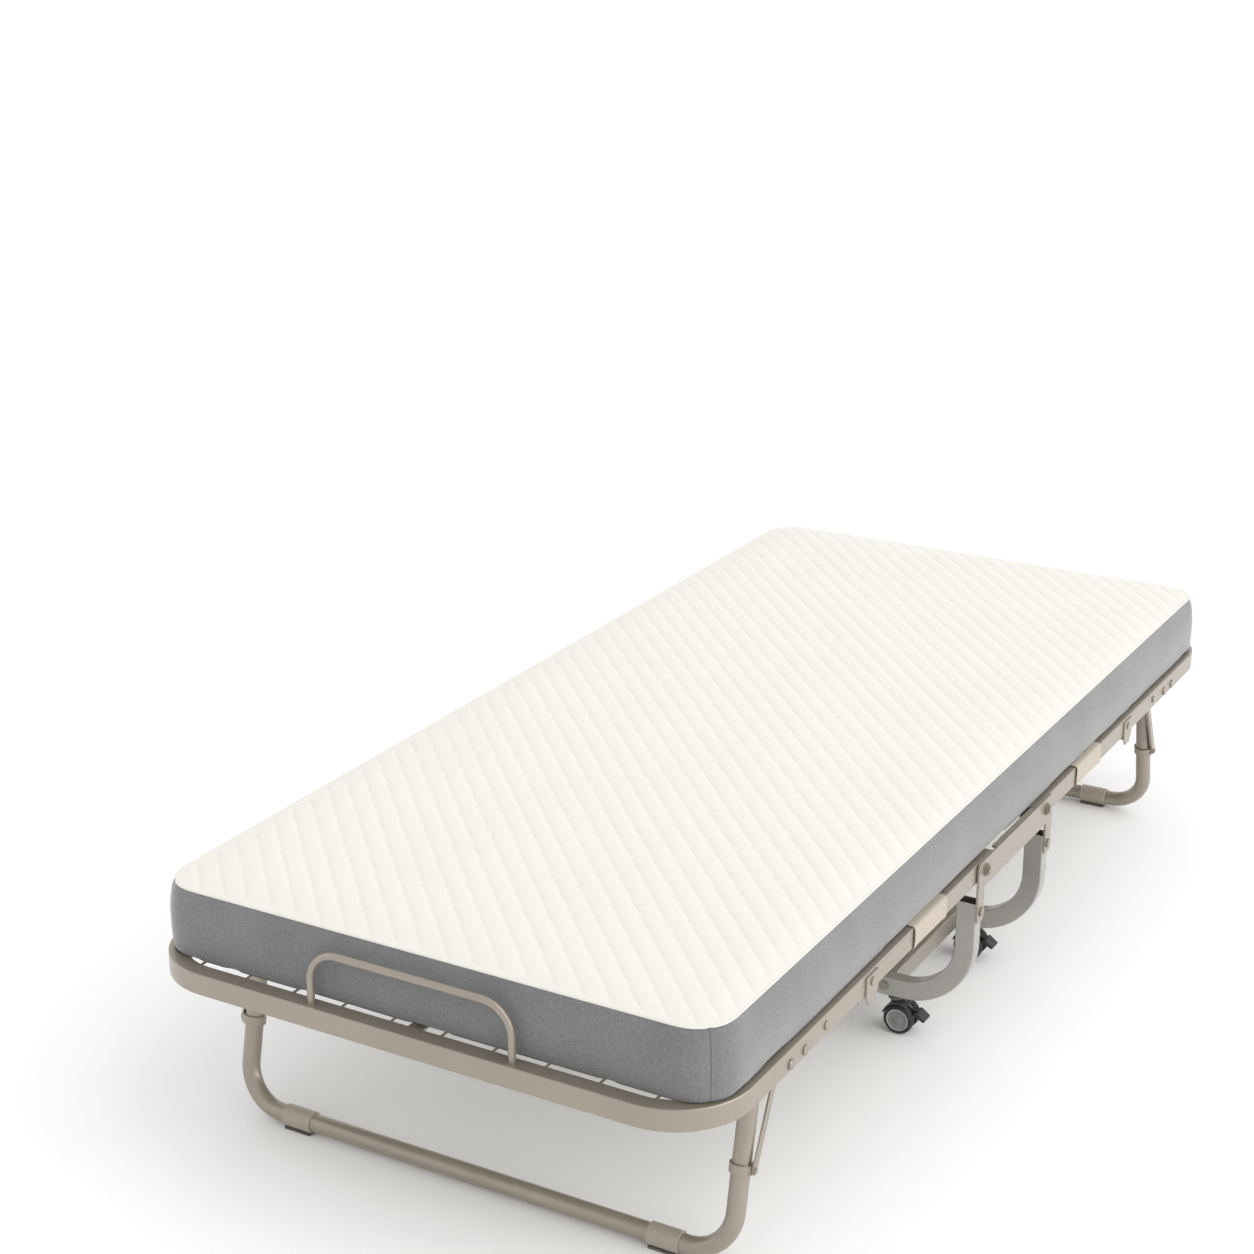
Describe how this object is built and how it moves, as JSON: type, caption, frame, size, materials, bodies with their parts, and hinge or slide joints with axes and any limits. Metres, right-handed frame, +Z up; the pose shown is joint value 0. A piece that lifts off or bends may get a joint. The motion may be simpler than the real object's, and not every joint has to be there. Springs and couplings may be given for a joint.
{
  "type": "folding cot",
  "caption": "Rollaway folding bed: two hinged tube-frame halves with wire mesh on a caster base, folding end legs and a foam mattress with a quilted top.",
  "frame": {"origin": "on the floor, under the centre of the unfolded cot", "axes": "+X across the cot, +Y along it towards the head end, +Z up"},
  "size_m": [0.873, 1.9, 0.395],
  "materials": {
    "frame_paint": "satin",
    "bolt_paint": "satin",
    "mesh_wire": "satin",
    "shaft_steel": "satin",
    "mattress_fabric": "matte",
    "sleeve_cloth": "matte",
    "pad_rubber": "matte",
    "tyre_rubber": "matte",
    "hub_plastic": "satin",
    "caster_metal": "satin",
    "brake_plastic": "satin"
  },
  "bodies": {
    "base": {"foot_base_frame": "frame_paint", "head_base_frame": "frame_paint", "lower_side_bars": "frame_paint", "left_side_link": "frame_paint", "right_side_link": "frame_paint", "foot_pivot_shaft": "shaft_steel", "head_pivot_shaft": "shaft_steel", "pivot_nuts": "bolt_paint", "base_bolts": "bolt_paint", "mattress_middle": "mattress_fabric"},
    "foot_half": {"foot_frame": "frame_paint", "foot_crossbars": "frame_paint", "foot_wire_mesh": "mesh_wire", "foot_centre_bars": "frame_paint", "foot_pivot_stops": "frame_paint", "foot_rail_bolts": "bolt_paint", "foot_leg_catches": "frame_paint", "foot_mattress_loop": "frame_paint", "foot_sleeves": "sleeve_cloth", "foot_mattress": "mattress_fabric"},
    "foot_leg": {"foot_leg": "frame_paint", "foot_leg_collars": "frame_paint", "foot_leg_pads": "pad_rubber"},
    "foot_braces": {"foot_braces": "frame_paint"},
    "foot_brace_clips": {"foot_brace_clips": "frame_paint"},
    "head_half": {"head_frame": "frame_paint", "head_crossbars": "frame_paint", "head_wire_mesh": "mesh_wire", "head_centre_bars": "frame_paint", "head_pivot_stops": "frame_paint", "head_rail_bolts": "bolt_paint", "head_leg_catches": "frame_paint", "head_mattress_loop": "frame_paint", "head_sleeves": "sleeve_cloth", "head_mattress": "mattress_fabric", "carry_handle_clips": "frame_paint"},
    "head_leg": {"head_leg": "frame_paint", "head_leg_collars": "frame_paint", "head_leg_pads": "pad_rubber"},
    "head_braces": {"head_braces": "frame_paint"},
    "head_brace_clips": {"head_brace_clips": "frame_paint"},
    "carry_handle": {"carry_handle": "frame_paint"},
    "loop_latch": {"loop_latch": "frame_paint"},
    "foot_left_caster_fork": {"foot_left_caster_fork": "caster_metal"},
    "foot_left_caster_wheels": {"foot_left_caster_tyres": "tyre_rubber", "foot_left_caster_hubs": "hub_plastic"},
    "foot_left_caster_brake": {"foot_left_caster_brake": "brake_plastic"},
    "foot_right_caster_fork": {"foot_right_caster_fork": "caster_metal"},
    "foot_right_caster_wheels": {"foot_right_caster_tyres": "tyre_rubber", "foot_right_caster_hubs": "hub_plastic"},
    "foot_right_caster_brake": {"foot_right_caster_brake": "brake_plastic"},
    "head_left_caster_fork": {"head_left_caster_fork": "caster_metal"},
    "head_left_caster_wheels": {"head_left_caster_tyres": "tyre_rubber", "head_left_caster_hubs": "hub_plastic"},
    "head_left_caster_brake": {"head_left_caster_brake": "brake_plastic"},
    "head_right_caster_fork": {"head_right_caster_fork": "caster_metal"},
    "head_right_caster_wheels": {"head_right_caster_tyres": "tyre_rubber", "head_right_caster_hubs": "hub_plastic"},
    "head_right_caster_brake": {"head_right_caster_brake": "brake_plastic"}
  },
  "joints": [
    {"name": "foot_fold", "type": "hinge", "parent": "base", "child": "foot_half", "pos_m": [0, -0.122, 0.281], "axis": [-1, 0, 0], "range_deg": [0, 90], "deforming": ["mattress_middle"]},
    {"name": "foot_leg_fold", "type": "hinge", "parent": "foot_half", "child": "foot_leg", "pos_m": [0, -0.745, 0.276], "axis": [1, 0, 0], "range_deg": [0, 96]},
    {"name": "foot_brace_swing", "type": "hinge", "parent": "foot_half", "child": "foot_braces", "pos_m": [0, -0.705, 0.276], "axis": [1, 0, 0], "range_deg": [0, 109.11]},
    {"name": "foot_clip_slide", "type": "slide", "parent": "foot_leg", "child": "foot_brace_clips", "axis": [0, -0.2077, -0.9782], "range_m": [0, 0.05315]},
    {"name": "head_fold", "type": "hinge", "parent": "base", "child": "head_half", "pos_m": [0, 0.122, 0.281], "axis": [1, 0, 0], "range_deg": [0, 90], "deforming": ["mattress_middle"]},
    {"name": "head_leg_fold", "type": "hinge", "parent": "head_half", "child": "head_leg", "pos_m": [0, 0.745, 0.276], "axis": [-1, 0, 0], "range_deg": [0, 96]},
    {"name": "head_brace_swing", "type": "hinge", "parent": "head_half", "child": "head_braces", "pos_m": [0, 0.705, 0.276], "axis": [-1, 0, 0], "range_deg": [0, 109.11]},
    {"name": "head_clip_slide", "type": "slide", "parent": "head_leg", "child": "head_brace_clips", "axis": [0, 0.2077, -0.9782], "range_m": [0, 0.05315]},
    {"name": "carry_handle_swing", "type": "hinge", "parent": "head_half", "child": "carry_handle", "pos_m": [0, 0.9375, 0.258], "axis": [1, 0, 0], "range_deg": [-90, 100]},
    {"name": "latch_swing", "type": "hinge", "parent": "head_half", "child": "loop_latch", "pos_m": [-0.06, 0.9375, 0.37], "axis": [1, 0, 0], "range_deg": [0, 180]},
    {"name": "foot_left_caster_swivel", "type": "hinge", "parent": "base", "child": "foot_left_caster_fork", "pos_m": [-0.306, -0.135, 0.05], "axis": [0, 0, 1], "continuous": true},
    {"name": "foot_left_caster_roll", "type": "hinge", "parent": "foot_left_caster_fork", "child": "foot_left_caster_wheels", "pos_m": [-0.316, -0.135, 0.023], "axis": [0, 1, 0], "continuous": true},
    {"name": "foot_left_caster_press", "type": "hinge", "parent": "foot_left_caster_fork", "child": "foot_left_caster_brake", "pos_m": [-0.328, -0.135, 0.036], "axis": [0, -1, 0], "range_deg": [0, 12]},
    {"name": "foot_right_caster_swivel", "type": "hinge", "parent": "base", "child": "foot_right_caster_fork", "pos_m": [0.306, -0.135, 0.05], "axis": [0, 0, 1], "continuous": true},
    {"name": "foot_right_caster_roll", "type": "hinge", "parent": "foot_right_caster_fork", "child": "foot_right_caster_wheels", "pos_m": [0.316, -0.135, 0.023], "axis": [0, 1, 0], "continuous": true},
    {"name": "foot_right_caster_press", "type": "hinge", "parent": "foot_right_caster_fork", "child": "foot_right_caster_brake", "pos_m": [0.328, -0.135, 0.036], "axis": [0, 1, 0], "range_deg": [0, 12]},
    {"name": "head_left_caster_swivel", "type": "hinge", "parent": "base", "child": "head_left_caster_fork", "pos_m": [-0.306, 0.135, 0.05], "axis": [0, 0, 1], "continuous": true},
    {"name": "head_left_caster_roll", "type": "hinge", "parent": "head_left_caster_fork", "child": "head_left_caster_wheels", "pos_m": [-0.316, 0.135, 0.023], "axis": [0, 1, 0], "continuous": true},
    {"name": "head_left_caster_press", "type": "hinge", "parent": "head_left_caster_fork", "child": "head_left_caster_brake", "pos_m": [-0.328, 0.135, 0.036], "axis": [0, -1, 0], "range_deg": [0, 12]},
    {"name": "head_right_caster_swivel", "type": "hinge", "parent": "base", "child": "head_right_caster_fork", "pos_m": [0.306, 0.135, 0.05], "axis": [0, 0, 1], "continuous": true},
    {"name": "head_right_caster_roll", "type": "hinge", "parent": "head_right_caster_fork", "child": "head_right_caster_wheels", "pos_m": [0.316, 0.135, 0.023], "axis": [0, 1, 0], "continuous": true},
    {"name": "head_right_caster_press", "type": "hinge", "parent": "head_right_caster_fork", "child": "head_right_caster_brake", "pos_m": [0.328, 0.135, 0.036], "axis": [0, 1, 0], "range_deg": [0, 12]}
  ],
  "couplings": [
    {"joint": "foot_brace_swing", "follows": "foot_leg_fold", "ratio": 1.1334},
    {"joint": "foot_clip_slide", "follows": "foot_leg_fold", "m_per_rad": 0.031602},
    {"joint": "head_brace_swing", "follows": "head_leg_fold", "ratio": 1.1334},
    {"joint": "head_clip_slide", "follows": "head_leg_fold", "m_per_rad": 0.031602}
  ]
}
